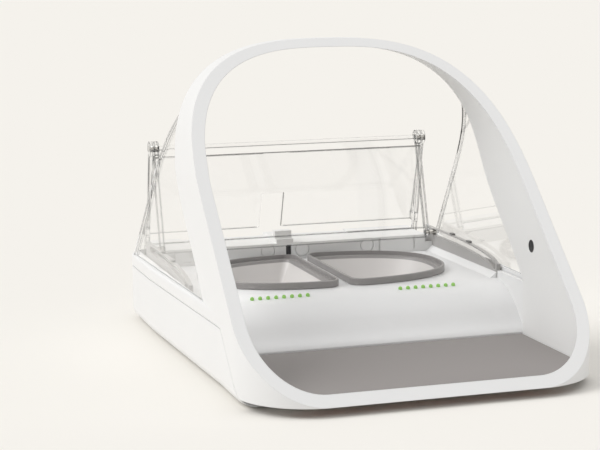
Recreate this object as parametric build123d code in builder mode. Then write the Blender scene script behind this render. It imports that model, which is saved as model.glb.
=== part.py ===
"""Microchip pet feeder: a battery-powered food station with a reading arch and a folding lid.

Frame: +X right as the pet's owner faces the arch, +Y to the back, +Z up, millimetres.
The origin is on the ground in the middle of the footprint. Lengths called "station" are
measured backwards from the foremost point of the arch's lip. The lid is modelled open.
"""
import os
from math import acos, atan2, cos, degrees, hypot, pi, radians, sin, tan

from build123d import *

os.makedirs("parts", exist_ok=True)

# ---------------------------------------------------------------- overall sizes
LENGTH = 318.0
REAR_WIDTH = 230.0
ARCH_STEP = 6.3
ARCH_WIDTH = REAR_WIDTH - 2 * ARCH_STEP
HEIGHT = 199.0

# ---------------------------------------------------------------- casing
WALL = 2.2
FOOT_STAND = 1.5
FLOOR = 2.5
LIP_BOTTOM = 5.6
SEAM_Z = 39.0
RAIL_TOP = 47.0
RAIL_ROUND = 1.6
BASE_ROUND = 7.0
SEAM_GAP = 0.7
SEAM_CUT = 0.9
FRONT_CORNER = 45.0
REAR_CORNER = 20.0
STRAIGHT_TO = 80.0
WIDE_FROM = LENGTH - 78.0
CHANNEL_HALF = ARCH_WIDTH / 2 - 2.3
FIT = 0.15

# ---------------------------------------------------------------- reading arch
RAKE = 47.1
FACE_WIDTH = 8.0
FACE_PLATE = 3.2
SEAM_DEPTH = 36.0
ARCH_SPRING_Z = 102.3
ARCH_POWER = 2.8
LIP_RATIO = 0.82
CROWN_RATIO = 0.69
ARCH_DEPTH = (
    (46.0, 68.5),
    (84.0, 65.6),
    (HEIGHT - 87.0, 61.5),
    (HEIGHT - 49.0, 39.6),
    (HEIGHT - 21.0, 22.5),
    (HEIGHT + 9.0, 8.2),
)
LINER_WALL = 2.1
COIL_THICK = 1.1
COIL_FROM = 4.0
COIL_WIDE = 6.0

# ---------------------------------------------------------------- entry floor and bowl tray
TUNNEL_END = 112.0
MAT_TOP = 11.7
MAT_THICK = 2.4
LINER_FLOOR = 1.9
TRAY_TOP = 39.8
TRAY_THICK = 2.2
LED_PITCH = 5.26
LED_COUNT = 8
LED_CENTRE = 49.8
LED_STATION = 149.6
LED_RADIUS = 1.25

# ---------------------------------------------------------------- bowls and scales
BOWL_FRONT = 162.5
BOWL_REAR = LENGTH - 46.0
BOWL_SPLIT = 3.8
BOWL_POWER = 2.5
BOWL_CORNER = 9.0
RIM_TOP = 44.4
RIM_HIGH = 4.4
RIM_WALL = 1.6
LEDGE_DEEP = 2.8
BOWL_BOTTOM = 21.6
BOWL_WALL = 1.8
CELL_HIGH = 8.0
CELL_WIDE = 12.0
CELL_LONG = 64.0
PLATFORM_THICK = 2.0

# ---------------------------------------------------------------- folding lid
PIVOT = (LENGTH - 9.0, 47.0)
GUIDE_PARK = 2.2
GUIDE_PARK_Z = 53.55
REAR_CLOSED = 3.6
FRONT_CLOSED = 4.2
GUIDE_SHUT = BOWL_FRONT - 0.2
LEAF_DIFFERENCE = 5.8
KNUCKLE = 5.2
ARM_DEEP = 4.4
ARM_THICK = 3.0
PANEL = 2.4
SIDE_GAP = 0.3
ARM_GAP = 0.5
BAR = 3.4
PIN_RADIUS = 1.5
GUIDE_PIN = 1.6
AXLE_RADIUS = 2.0
RUNNING = 0.06
SLOT_PLAY = 0.45
GUIDE_X = (CHANNEL_HALF - 3.6, CHANNEL_HALF - 1.0)
LID_HALF = GUIDE_X[0] - ARM_GAP - 2 * ARM_THICK - SIDE_GAP
BOWL_HALF = LID_HALF - 12.0
TRAY_HALF = GUIDE_X[1] + 0.2

# ---------------------------------------------------------------- rear mechanism
DECK_TOP = 51.6
DECK_FRONT = LENGTH - 43.0
DECK_HALF = LID_HALF + 1.6
SKIRT = 2.0
TRAY_REAR = DECK_FRONT + SKIRT
RIB_X = (-15.8, -3.6)
RIB_TOP = 54.6
PILLAR_TOP = 60.0
MODULE = 0.8
SECTOR_TEETH = 16
PINION_TEETH = 10
GEAR_X = 64.0
GEAR_THICK = 4.0
BATTERY_RADIUS = 13.1
BATTERY_LONG = 50.0
BAY_ROOF = 31.8
BUTTON_RADIUS = 3.0
BUTTON_Z = 35.4
BUTTON_TRAVEL = 0.8
BUTTON_X = (-72.0, -56.0, -40.0, -24.0)


def along(station):
    """Turn a station, measured from the lip, into the object's Y."""
    return station - LENGTH / 2


def put(part, name):
    """Label a finished sub-part and write it as its own STEP file."""
    part.label = name
    export_step(part, f"parts/{name}.step")


def cylinder_x(radius, place, x_from, x_to, mode=Mode.ADD):
    """Add or cut a cylinder lying along X; place is its axis as a station and a height."""
    with BuildSketch(Plane.YZ.offset(x_from)) as disc:
        with Locations((along(place[0]), place[1])):
            Circle(radius)
    extrude(disc.sketch, amount=x_to - x_from, mode=mode)


def block(x, stations, z, mode=Mode.ADD):
    """Add or cut a box given as ranges of X, station and Z."""
    with BuildSketch(Plane.XY.offset(z[0])) as base:
        with Locations(((x[0] + x[1]) / 2, along((stations[0] + stations[1]) / 2))):
            Rectangle(x[1] - x[0], stations[1] - stations[0])
    extrude(base.sketch, amount=z[1] - z[0], mode=mode)


def post(radius, x, station, z_from, z_to, mode=Mode.ADD):
    """Add or cut an upright cylinder."""
    with BuildSketch(Plane.XY.offset(z_from)) as disc:
        with Locations((x, along(station))):
            Circle(radius)
    extrude(disc.sketch, amount=z_to - z_from, mode=mode)


def mirrored(range_x, side):
    """A range of X on the right, or its mirror image on the left."""
    return range_x if side > 0 else (-range_x[1], -range_x[0])


def body_outline(inset):
    """Plan of the base: straight at the arch, wider towards the back, corners rounded."""
    front_half = ARCH_WIDTH / 2 - inset
    rear_half = REAR_WIDTH / 2 - inset
    front = along(inset * LIP_RATIO)
    rear = along(LENGTH - inset)
    right = [(front_half, front), (front_half, along(STRAIGHT_TO)), (rear_half, along(WIDE_FROM)), (rear_half, rear)]
    left = [(-x, y) for x, y in reversed(right)]
    with BuildSketch() as plan:
        with BuildLine():
            Polyline(*right, *left, close=True)
        make_face()
        fillet(plan.vertices().group_by(Axis.Y)[0], FRONT_CORNER - inset)
        fillet(plan.vertices().group_by(Axis.Y)[-1], max(REAR_CORNER - inset, 1.0))
    return plan.sketch


def arch_plan(inset):
    """Plan of the arch alone: parallel sides that run straight back from the rounded lip."""
    half = ARCH_WIDTH / 2 - inset
    front = along(inset * LIP_RATIO)
    with BuildSketch() as plan:
        with BuildLine():
            Polyline((-half, front), (half, front), (half, along(WIDE_FROM)), (-half, along(WIDE_FROM)), close=True)
        make_face()
        fillet(plan.vertices().group_by(Axis.Y)[0], FRONT_CORNER - inset)
    return plan.sketch


def arch_elevation(inset, lean=0.0):
    """Front view of the arch: legs under a superelliptic crown, upright or leaning in above the rails."""
    half = ARCH_WIDTH / 2 - inset
    rise = HEIGHT - inset * CROWN_RATIO - ARCH_SPRING_Z
    steps = 24
    crown = []
    for i in range(steps + 1):
        angle = pi * i / steps
        x = half * abs(cos(angle)) ** (2 / ARCH_POWER)
        z = ARCH_SPRING_Z + rise * sin(angle) ** (2 / ARCH_POWER)
        x -= min(x, lean * (z - RAIL_TOP))
        crown.append((x if angle < pi / 2 else -x, z))
    foot = half + lean * RAIL_TOP
    with BuildSketch() as view:
        with BuildLine():
            Spline(*crown, tangents=((-lean, 1), (-lean, -1)))
            Polyline(crown[-1], (-foot, 0), (foot, 0), crown[0])
        make_face()
    return view.sketch


def rake_station(z, behind=0.0):
    """Station of the raked front face at height z, or of a surface that much behind it."""
    return (z - LIP_BOTTOM) * tan(radians(RAKE)) + behind


def arch_back(shift):
    """Points of the arch's curved back in side view, moved backwards by a shift."""
    return [(along(rake_station(z, depth + shift)), z) for z, depth in ARCH_DEPTH]


def arch_solid(inset, front_behind, back_ahead, bottom):
    """The arch's volume at an inset, between its raked face and its curved back."""
    top = HEIGHT + 9
    back = arch_back(-back_ahead)
    with BuildPart() as volume:
        with BuildSketch() as plan:
            add(arch_plan(inset))
        extrude(plan.sketch, amount=top)
        with BuildSketch(Plane.XZ) as front:
            add(arch_elevation(inset))
        extrude(front.sketch, amount=LENGTH, both=True, mode=Mode.INTERSECT)
        with BuildSketch(Plane.YZ) as side:
            with BuildLine():
                Polyline(
                    (along(rake_station(bottom, front_behind)), bottom),
                    (along(rake_station(top, front_behind)), top),
                    (along(2 * LENGTH), top),
                    (along(2 * LENGTH), bottom),
                    close=True,
                )
            make_face()
            with BuildLine():
                Spline(*back)
                Polyline(
                    back[-1],
                    (along(-2 * LENGTH), back[-1][1]),
                    (along(-2 * LENGTH), bottom),
                    (back[0][0], bottom),
                    back[0],
                )
            make_face(mode=Mode.INTERSECT)
        extrude(side.sketch, amount=REAR_WIDTH, both=True, mode=Mode.INTERSECT)
    return volume.part


def superellipse(half_x, half_y, centre_y, power):
    """Closed superelliptic face for the bowls' shared oval."""
    steps = 40
    points = []
    for i in range(steps):
        angle = 2 * pi * (i + 0.5) / steps
        x = half_x * abs(cos(angle)) ** (2 / power)
        y = half_y * abs(sin(angle)) ** (2 / power)
        points.append((x if cos(angle) > 0 else -x, centre_y + (y if sin(angle) > 0 else -y)))
    with BuildSketch() as oval:
        with BuildLine():
            Spline(*points, periodic=True)
        make_face()
    return oval.sketch


def bowl_plan(side, inset):
    """One D-shaped half of the oval, straight at the split, corners rounded."""
    half_y = (BOWL_REAR - BOWL_FRONT) / 2
    centre = along((BOWL_REAR + BOWL_FRONT) / 2)
    inner = BOWL_SPLIT + inset
    wide = BOWL_HALF * 1.2 - inner
    with BuildSketch() as plan:
        add(superellipse(BOWL_HALF - inset, half_y - inset, centre, BOWL_POWER))
        with Locations((side * (inner + wide / 2), centre)):
            Rectangle(wide, 4 * half_y, mode=Mode.INTERSECT)
        corners = plan.vertices().filter_by(lambda v: abs(abs(v.X) - inner) < 0.01)
        fillet(corners, max(BOWL_CORNER - inset, 3.0))
    return plan.sketch


def gear_outline(teeth, phase, first, last):
    """Involute teeth as points round a circle, from tooth number first to last."""
    pitch = MODULE * teeth / 2
    base = pitch * cos(radians(20))
    tip = pitch + 0.85 * MODULE
    root = pitch - 1.15 * MODULE
    half = pi / (2 * teeth) - 0.09 * MODULE / pitch
    points = []
    for n in range(first, last + 1):
        centre = phase + 2 * pi * n / teeth
        flank = []
        for k in range(5):
            rho = max(base, root) + (tip - max(base, root)) * k / 4
            pressure = acos(min(1.0, base / rho))
            roll = tan(radians(20)) - radians(20) - (tan(pressure) - pressure)
            flank.append((rho, half + roll))
        points.append((root, centre - flank[0][1] - 0.02))
        points.extend((rho, centre - a) for rho, a in flank)
        points.extend((rho, centre + a) for rho, a in reversed(flank))
        points.append((root, centre + flank[0][1] + 0.02))
    return [(r * cos(a), r * sin(a)) for r, a in points]


# ---------------------------------------------------------------- lid geometry
def reach_from(start, length, degrees_up):
    """The point a length ahead of a start, rising by an angle."""
    a = radians(degrees_up)
    return start[0] - length * cos(a), start[1] + length * sin(a)


closed_cosines = cos(radians(REAR_CLOSED)) + cos(radians(FRONT_CLOSED))
FRONT_LEAF = (PIVOT[0] - GUIDE_SHUT - LEAF_DIFFERENCE * cos(radians(REAR_CLOSED))) / closed_cosines
REAR_LEAF = FRONT_LEAF + LEAF_DIFFERENCE
GUIDE = (DECK_FRONT - GUIDE_PARK, GUIDE_PARK_Z)
span = hypot(PIVOT[0] - GUIDE[0], PIVOT[1] - GUIDE[1])
span_rise = atan2(GUIDE[1] - PIVOT[1], PIVOT[0] - GUIDE[0])
pivot_corner = acos((REAR_LEAF**2 + span**2 - FRONT_LEAF**2) / (2 * REAR_LEAF * span))
REAR_OPEN = degrees(span_rise + pivot_corner)
CROWN = reach_from(PIVOT, REAR_LEAF, REAR_OPEN)
FRONT_OPEN = degrees(atan2(CROWN[1] - GUIDE[1], CROWN[0] - GUIDE[0]))


def leaf_plane(corner, rise):
    """Side plane of a leaf: local X runs along the leaf, local Y is its upper side when shut."""
    a = radians(rise)
    return Plane(origin=(0, along(corner[0]), corner[1]), x_dir=(0, -cos(a), sin(a)), z_dir=(-1, 0, 0))


rear_leaf_plane = leaf_plane(PIVOT, REAR_OPEN)
front_leaf_plane = leaf_plane(CROWN, -FRONT_OPEN)


def guide_point(share):
    """Station and height of the guide pin when the lid is open by this share of its travel."""
    crown = reach_from(PIVOT, REAR_LEAF, REAR_CLOSED + (REAR_OPEN - REAR_CLOSED) * share)
    return reach_from(crown, FRONT_LEAF, -FRONT_CLOSED - (FRONT_OPEN - FRONT_CLOSED) * share)


def arm(plane, length, x_inner, near_radius, far_radius):
    """Add both side arms of a leaf, each with a round hub at its two ends."""
    for side in (1, -1):
        with BuildSketch(plane.offset(-side * x_inner)) as section:
            with Locations((length / 2, 0)):
                Rectangle(length, ARM_DEEP)
            Circle(near_radius)
            with Locations((length, 0)):
                Circle(far_radius)
        extrude(section.sketch, amount=-side * ARM_THICK)


# ---------------------------------------------------------------- base tub
BAY_Y = (LENGTH - 39.4, LENGTH - 10.6)
BAY_X = (1.6, 103.2)
POSTS = ((CHANNEL_HALF - 9.4, 170.0), (CHANNEL_HALF - 9.4, LENGTH - 54.0))
BOARD_POSTS = ((50.0, 124.0), (50.0, 152.0))
FRONT_FOOT = (ARCH_WIDTH / 2 - 44.7, 48.0)
REAR_FOOT = (REAR_WIDTH / 2 - 39.0, LENGTH - 56.0)
FOOT_RADIUS = 8.0
FOOT_HIGH = 2.5
FLOOR_TOP = FOOT_STAND + FLOOR
LINER_UNDER = MAT_TOP - MAT_THICK - LINER_FLOOR
TRAY_UNDER = TRAY_TOP - TRAY_THICK
SCREW_HEAD = 3.0
SCREW_SHANK = 1.5
BOARD_Z = 12.0
CELL_SEAT = 9.0
CELL_X = 42.0
CELL_STATION = (BOWL_FRONT + BOWL_REAR) / 2
CELL_END = CELL_LONG / 2 - 7
RIB_PLACE = (50.0, 75.0)
RIB_LONG = 60.0
BAY_WALL = 1.6
BAY_LID = 1.4
SCREW_DEEP = 14.0

def seam_line(below):
    """Side view of the seam, lowered by a little: level at the sides, then down along the arch's leg."""
    corner = rake_station(SEAM_Z - below, SEAM_DEPTH + below)
    return [(along(LENGTH + 9), SEAM_Z - below), (along(corner), SEAM_Z - below), (along(rake_station(0, SEAM_DEPTH + below)), 0)]


with BuildPart() as seam_ring:
    with BuildSketch():
        add(body_outline(-SEAM_CUT))
        add(body_outline(SEAM_CUT), mode=Mode.SUBTRACT)
    extrude(amount=SEAM_Z)
    with BuildSketch(Plane.YZ):
        with BuildLine():
            Polyline(*seam_line(0), *reversed(seam_line(SEAM_GAP)), close=True)
        make_face()
    extrude(amount=REAR_WIDTH, both=True, mode=Mode.INTERSECT)
seam_groove = seam_ring.part

with BuildPart() as tub_inside:
    with BuildSketch(Plane.XY.offset(FLOOR_TOP)):
        add(body_outline(WALL))
    extrude(amount=SEAM_Z)
    fillet(tub_inside.edges().group_by(Axis.Z)[0], BASE_ROUND - WALL)

with BuildPart() as base_tub:
    with BuildSketch(Plane.XY.offset(FOOT_STAND)):
        add(body_outline(0))
    extrude(amount=SEAM_Z - FOOT_STAND)
    fillet(base_tub.edges().group_by(Axis.Z)[0], BASE_ROUND)
    add(tub_inside.part, mode=Mode.SUBTRACT)
    with BuildSketch(Plane.YZ) as front_cut:
        with BuildLine():
            Polyline(
                (along(rake_station(0, SEAM_DEPTH)), 0),
                (along(rake_station(SEAM_Z + 9, SEAM_DEPTH)), SEAM_Z + 9),
                (along(-9), SEAM_Z + 9),
                (along(-9), 0),
                close=True,
            )
        make_face()
    extrude(amount=REAR_WIDTH, both=True, mode=Mode.SUBTRACT)
    with BuildSketch(Plane.XY.offset(FOOT_STAND)):
        for side in (1, -1):
            with Locations((side * RIB_PLACE[0], along(RIB_PLACE[1]))):
                Rectangle(WALL, RIB_LONG)
    extrude(amount=LINER_UNDER - FOOT_STAND)
    with BuildSketch(Plane.XY.offset(FLOOR_TOP)):
        for side in (1, -1):
            with Locations((side * (BAY_X[0] + BAY_X[1]) / 2, along((BAY_Y[0] + BAY_Y[1]) / 2))):
                Rectangle(BAY_X[1] - BAY_X[0] + 2 * BAY_WALL, BAY_Y[1] - BAY_Y[0] + 1.5 * BAY_WALL)
    extrude(amount=BAY_ROOF - FLOOR_TOP)
    with BuildSketch(Plane.XY.offset(FLOOR_TOP)):
        for x, s in POSTS:
            with Locations((x, along(s)), (-x, along(s))):
                Circle(4.2)
    extrude(amount=TRAY_UNDER - FLOOR_TOP)
    with BuildSketch(Plane.XY.offset(FLOOR_TOP)):
        for x, s in BOARD_POSTS:
            with Locations((x, along(s)), (-x, along(s))):
                Circle(3.2)
    extrude(amount=BOARD_Z - FLOOR_TOP)
    with BuildSketch(Plane.XY.offset(FLOOR_TOP)):
        with Locations((CELL_X, along(CELL_STATION - CELL_END)), (-CELL_X, along(CELL_STATION - CELL_END))):
            Rectangle(CELL_WIDE, 14)
    extrude(amount=CELL_SEAT - FLOOR_TOP)
    with BuildSketch():
        for side in (1, -1):
            with Locations((side * (BAY_X[0] + BAY_X[1]) / 2, along((BAY_Y[0] + BAY_Y[1]) / 2))):
                Rectangle(BAY_X[1] - BAY_X[0], BAY_Y[1] - BAY_Y[0])
    extrude(amount=BAY_ROOF - BAY_LID, mode=Mode.SUBTRACT)
    with BuildSketch(Plane.XY.offset(FOOT_STAND)):
        for x, s in (FRONT_FOOT, REAR_FOOT):
            with Locations((x, along(s)), (-x, along(s))):
                Circle(FOOT_RADIUS)
    extrude(amount=FOOT_HIGH - FOOT_STAND, mode=Mode.SUBTRACT)
    with BuildSketch(Plane.XY.offset(FOOT_STAND)):
        for x, s in POSTS:
            with Locations((x, along(s)), (-x, along(s))):
                Circle(SCREW_HEAD + FIT)
    extrude(amount=SCREW_DEEP, mode=Mode.SUBTRACT)
    with BuildSketch(Plane.XY.offset(FOOT_STAND)):
        for x, s in POSTS:
            with Locations((x, along(s)), (-x, along(s))):
                Circle(SCREW_SHANK + 0.1)
    extrude(amount=TRAY_UNDER, mode=Mode.SUBTRACT)
    add(seam_groove, mode=Mode.SUBTRACT)
    with BuildSketch(Plane.XZ.offset(-along(LENGTH) + WALL + 1)):
        for x in BUTTON_X:
            with Locations((x, BUTTON_Z)):
                Circle(BUTTON_RADIUS + 0.3)
    extrude(amount=-2 * WALL - 2, mode=Mode.SUBTRACT)
put(base_tub.part, "base_tub")

# ---------------------------------------------------------------- upper casing: rails, arch skin, lip
ARCH_SKIN = 2.0
LINER_OUT = FACE_WIDTH - LINER_WALL
OPEN_BACK = -9.0

arch_outside = arch_solid(0, 0, 0, LIP_BOTTOM)
arch_hollow = arch_solid(ARCH_SKIN, FACE_PLATE, OPEN_BACK, 0)
tunnel = arch_solid(FACE_WIDTH, -LENGTH, OPEN_BACK, 0)

with BuildPart() as upper_casing:
    with BuildSketch(Plane.XY.offset(SEAM_Z)):
        add(body_outline(0))
    extrude(amount=RAIL_TOP - SEAM_Z)
    fillet(upper_casing.edges().group_by(Axis.Z)[-1], RAIL_ROUND)
    with BuildSketch(Plane.XY.offset(SEAM_Z)):
        add(body_outline(WALL))
        Rectangle(2 * CHANNEL_HALF, 2 * LENGTH, mode=Mode.INTERSECT)
    extrude(amount=RAIL_TOP, mode=Mode.SUBTRACT)
    with BuildSketch(Plane.YZ):
        with BuildLine():
            Polyline(
                (along(rake_station(0)), 0),
                (along(rake_station(RAIL_TOP + 9)), RAIL_TOP + 9),
                (along(-9), RAIL_TOP + 9),
                (along(-9), 0),
                close=True,
            )
        make_face()
    extrude(amount=REAR_WIDTH, both=True, mode=Mode.SUBTRACT)
    add(arch_outside)
    add(arch_hollow, mode=Mode.SUBTRACT)
    add(tunnel, mode=Mode.SUBTRACT)
    with BuildSketch(Plane.YZ):
        with BuildLine():
            Polyline(
                (along(rake_station(0, SEAM_DEPTH)), 0),
                (along(rake_station(SEAM_Z, SEAM_DEPTH)), SEAM_Z),
                (along(LENGTH + 9), SEAM_Z),
                (along(LENGTH + 9), 0),
                close=True,
            )
        make_face()
    extrude(amount=REAR_WIDTH, both=True, mode=Mode.SUBTRACT)
put(upper_casing.part, "upper_casing")

# ---------------------------------------------------------------- arch liner with its floor
WINDOW = (100.0, 70.0)
WINDOW_RADIUS = 4.0
MAT_UNDER = MAT_TOP - MAT_THICK
TUNNEL_HALF = ARCH_WIDTH / 2 - FACE_WIDTH
FLANGE = 1.8

liner_block = arch_solid(LINER_OUT, FACE_PLATE, 0, LINER_UNDER)
liner_flange = arch_solid(ARCH_SKIN + FIT, FACE_PLATE, 0, RAIL_TOP)
flange_front = arch_solid(ARCH_SKIN, -LENGTH, FLANGE, 0)
liner_space = arch_solid(FACE_WIDTH, -LENGTH, OPEN_BACK, MAT_UNDER)

with BuildPart() as arch_liner:
    add(liner_flange)
    add(flange_front, mode=Mode.SUBTRACT)
    add(liner_block)
    add(liner_space, mode=Mode.SUBTRACT)
    cylinder_x(WINDOW_RADIUS + RUNNING, WINDOW, -ARCH_WIDTH / 2, ARCH_WIDTH / 2, Mode.SUBTRACT)
put(arch_liner.part, "arch_liner")

for side, name in ((1, "right"), (-1, "left")):
    with BuildPart() as sensor_window:
        cylinder_x(WINDOW_RADIUS, WINDOW, *mirrored((TUNNEL_HALF + 0.1, TUNNEL_HALF + LINER_WALL), side))
    put(sensor_window.part, f"sensor_window_{name}")

# ---------------------------------------------------------------- reader coil round the tunnel
COIL_OUT = LINER_OUT - COIL_THICK
COIL_BACK = COIL_FROM + COIL_WIDE

coil_outside = arch_solid(COIL_OUT, COIL_FROM, 0, LINER_UNDER - COIL_THICK)
coil_inside = arch_solid(LINER_OUT - RUNNING, -LENGTH, OPEN_BACK, LINER_UNDER - RUNNING)
coil_behind = arch_solid(0, COIL_BACK, OPEN_BACK, 0)

with BuildPart() as reader_coil:
    add(coil_outside)
    add(coil_inside, mode=Mode.SUBTRACT)
    add(coil_behind, mode=Mode.SUBTRACT)
put(reader_coil.part, "reader_coil")

# ---------------------------------------------------------------- entry mat
MAT_GAP = 0.4

with BuildPart() as entry_mat:
    with BuildSketch(Plane.XY.offset(MAT_UNDER)):
        add(arch_plan(FACE_WIDTH + MAT_GAP))
        with Locations((0, along(TUNNEL_END - MAT_GAP - LENGTH / 2))):
            Rectangle(REAR_WIDTH, LENGTH, mode=Mode.INTERSECT)
    extrude(amount=MAT_THICK)
    fillet(entry_mat.edges().group_by(Axis.Z)[-1], 0.8)
put(entry_mat.part, "entry_mat")

# ---------------------------------------------------------------- bowl tray with the sloping front wall
SLOPE = ((112.1, 12.6), (118.0, 17.4), (127.0, 26.2), (136.0, 33.0), (146.0, 37.4), (154.0, 39.2), (162.0, TRAY_TOP))
SLOPE_IN = 1.5
LED_BOARD_TOP = 32.2
LED_BOARD_THICK = 1.2
LED_TOP = 40.2
LED_SEAT = 36.8
FLANGE_TOP = 44.5
FLANGE_X = (GUIDE_X[0] + 0.1, TRAY_HALF)
COVE = 4.6
COVE_HIGH = 3.6
GUIDE_FRONT = 158.0
GUIDE_REAR = LENGTH - 28.0
led_posts = (LED_CENTRE - 25, LED_CENTRE + 25)
led_places = [LED_CENTRE + LED_PITCH * (i - (LED_COUNT - 1) / 2) for i in range(LED_COUNT)]

with BuildPart() as bowl_tray:
    with BuildSketch(Plane.YZ):
        upper = [(along(s), z) for s, z in SLOPE]
        lower = [(y + SLOPE_IN, z - TRAY_THICK * 0.8) for y, z in upper]
        with BuildLine():
            Spline(*upper, tangents=((0.6, 1), (1, 0)))
            Polyline(
                upper[-1],
                (along(TRAY_REAR), TRAY_TOP),
                (along(TRAY_REAR), TRAY_UNDER),
                (lower[-1][0], TRAY_UNDER),
            )
            Spline((lower[-1][0], TRAY_UNDER), *reversed(lower[:-1]), tangents=((-1, 0), (-0.6, -1)))
            Polyline(lower[0], (lower[0][0], LINER_UNDER), (upper[0][0], LINER_UNDER), upper[0])
        make_face()
    extrude(amount=REAR_WIDTH, both=True)
    with BuildSketch():
        add(body_outline(WALL + FIT))
        Rectangle(2 * TRAY_HALF, 2 * LENGTH, mode=Mode.INTERSECT)
    extrude(amount=HEIGHT, mode=Mode.INTERSECT)
    for side in (1, -1):
        block(mirrored(FLANGE_X, side), (SLOPE[0][0], GUIDE_FRONT - 0.5), (LINER_UNDER, FLANGE_TOP))
        for x in led_posts:
            post(2.0, side * x, LED_STATION, LED_BOARD_TOP, LED_SEAT)
        for x in led_places:
            post(LED_RADIUS + RUNNING, side * x, LED_STATION, LED_BOARD_TOP, TRAY_TOP, Mode.SUBTRACT)
        with BuildSketch(Plane.XZ.offset(-along(GUIDE_FRONT))):
            with BuildLine():
                Polyline(
                    (side * (GUIDE_X[0] - COVE), TRAY_TOP),
                    (side * GUIDE_X[0], TRAY_TOP + COVE_HIGH),
                    (side * GUIDE_X[0], TRAY_TOP - TRAY_THICK),
                    (side * (GUIDE_X[0] - COVE), TRAY_TOP - TRAY_THICK),
                    close=True,
                )
            make_face()
        extrude(amount=-(DECK_FRONT - GUIDE_FRONT))
        with BuildSketch(Plane.XY.offset(TRAY_UNDER - 9)):
            add(bowl_plan(side, 2.4))
        extrude(amount=20, mode=Mode.SUBTRACT)
put(bowl_tray.part, "bowl_tray")

for side, name in ((1, "right"), (-1, "left")):
    with BuildPart() as led_board:
        block(
            mirrored((led_posts[0] - 4, led_posts[1] + 4), side),
            (LED_STATION - 4, LED_STATION + 4),
            (LED_BOARD_TOP - LED_BOARD_THICK, LED_BOARD_TOP),
        )
    put(led_board.part, f"led_board_{name}")
    with BuildPart() as led_lenses:
        for x in led_places:
            post(LED_RADIUS, side * x, LED_STATION, LED_BOARD_TOP, LED_TOP)
        fillet(led_lenses.edges().group_by(Axis.Z)[-1], LED_RADIUS - 0.1)
    put(led_lenses.part, f"led_lenses_{name}")

# ---------------------------------------------------------------- bowls
BOWL_DRAFT = 9.0
BODY_INSET = 3.0

for side, name in ((1, "right"), (-1, "left")):
    with BuildPart() as bowl:
        for z, inset in ((RIM_TOP - RIM_HIGH, BODY_INSET), (BOWL_BOTTOM, BODY_INSET + BOWL_DRAFT)):
            with BuildSketch(Plane.XY.offset(z)):
                add(bowl_plan(side, inset))
        loft()
        with BuildSketch(Plane.XY.offset(RIM_TOP - RIM_HIGH)):
            add(bowl_plan(side, 0))
        extrude(amount=RIM_HIGH)
        fillet(bowl.edges().group_by(Axis.Z)[-1], 0.7)
        for z, inset in (
            (RIM_TOP, BODY_INSET + BOWL_WALL - 0.6),
            (BOWL_BOTTOM + BOWL_WALL, BODY_INSET + BOWL_DRAFT + BOWL_WALL),
        ):
            with BuildSketch(Plane.XY.offset(z)):
                add(bowl_plan(side, inset))
        loft(mode=Mode.SUBTRACT)
        with BuildSketch(Plane.XY.offset(RIM_TOP - LEDGE_DEEP)):
            add(bowl_plan(side, RIM_WALL))
        extrude(amount=LEDGE_DEEP, mode=Mode.SUBTRACT)
    put(bowl.part, f"bowl_{name}")

# ---------------------------------------------------------------- scales under the bowls
CELL_TOP = CELL_SEAT + CELL_HIGH
PLATFORM_Z = BOWL_BOTTOM - PLATFORM_THICK
cell_front = CELL_STATION - CELL_LONG / 2
cell_rear = CELL_STATION + CELL_LONG / 2

for side, name in ((1, "right"), (-1, "left")):
    x_cell = (side * CELL_X - CELL_WIDE / 2, side * CELL_X + CELL_WIDE / 2)
    with BuildPart() as platform:
        block(mirrored((CELL_X - 28, CELL_X + 28), side), (CELL_STATION - 32, CELL_STATION + 32), (PLATFORM_Z, BOWL_BOTTOM))
        block(x_cell, (cell_rear - 14, cell_rear), (CELL_TOP, PLATFORM_Z))
    put(platform.part, f"weigh_platform_{name}")
    with BuildPart() as load_cell:
        block(x_cell, (cell_front, cell_rear), (CELL_SEAT, CELL_TOP))
        cylinder_x(2.6, (CELL_STATION - 4.5, CELL_SEAT + CELL_HIGH / 2), *x_cell, Mode.SUBTRACT)
        cylinder_x(2.6, (CELL_STATION + 4.5, CELL_SEAT + CELL_HIGH / 2), *x_cell, Mode.SUBTRACT)
        for station in (cell_front + 4, cell_front + 10):
            post(SCREW_SHANK + 0.1, side * CELL_X, station, 0, CELL_TOP, Mode.SUBTRACT)
    put(load_cell.part, f"load_cell_{name}")

with BuildPart() as cell_screws:
    for side in (1, -1):
        for station in (cell_front + 4, cell_front + 10):
            post(SCREW_SHANK, side * CELL_X, station, CELL_SEAT, CELL_TOP)
            post(2.6, side * CELL_X, station, CELL_TOP, CELL_TOP + 1.6)
put(cell_screws.part, "cell_screws")

# ---------------------------------------------------------------- main board
BOARD_X = 56.0
BOARD_STATIONS = (118.5, 158.0)
BOARD_THICK = 1.6
BOARD_PARTS = (((-9.0, 9.0), (128.0, 146.0), 1.6), ((20.0, 32.0), (126.0, 134.0), 2.4), ((-34.0, -22.0), (140.0, 150.0), 4.4))

with BuildPart() as main_board:
    block((-BOARD_X, BOARD_X), BOARD_STATIONS, (BOARD_Z, BOARD_Z + BOARD_THICK))
    for x, stations, high in BOARD_PARTS:
        block(x, stations, (BOARD_Z + BOARD_THICK, BOARD_Z + BOARD_THICK + high))
    for x, s in BOARD_POSTS:
        post(SCREW_SHANK + 0.1, x, s, 0, HEIGHT, Mode.SUBTRACT)
        post(SCREW_SHANK + 0.1, -x, s, 0, HEIGHT, Mode.SUBTRACT)
put(main_board.part, "main_board")

with BuildPart() as board_screws:
    for x, s in BOARD_POSTS:
        for side in (1, -1):
            post(SCREW_SHANK, side * x, s, BOARD_Z, BOARD_Z + BOARD_THICK)
            post(2.6, side * x, s, BOARD_Z + BOARD_THICK, BOARD_Z + BOARD_THICK + 1.6)
put(board_screws.part, "board_screws")

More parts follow.
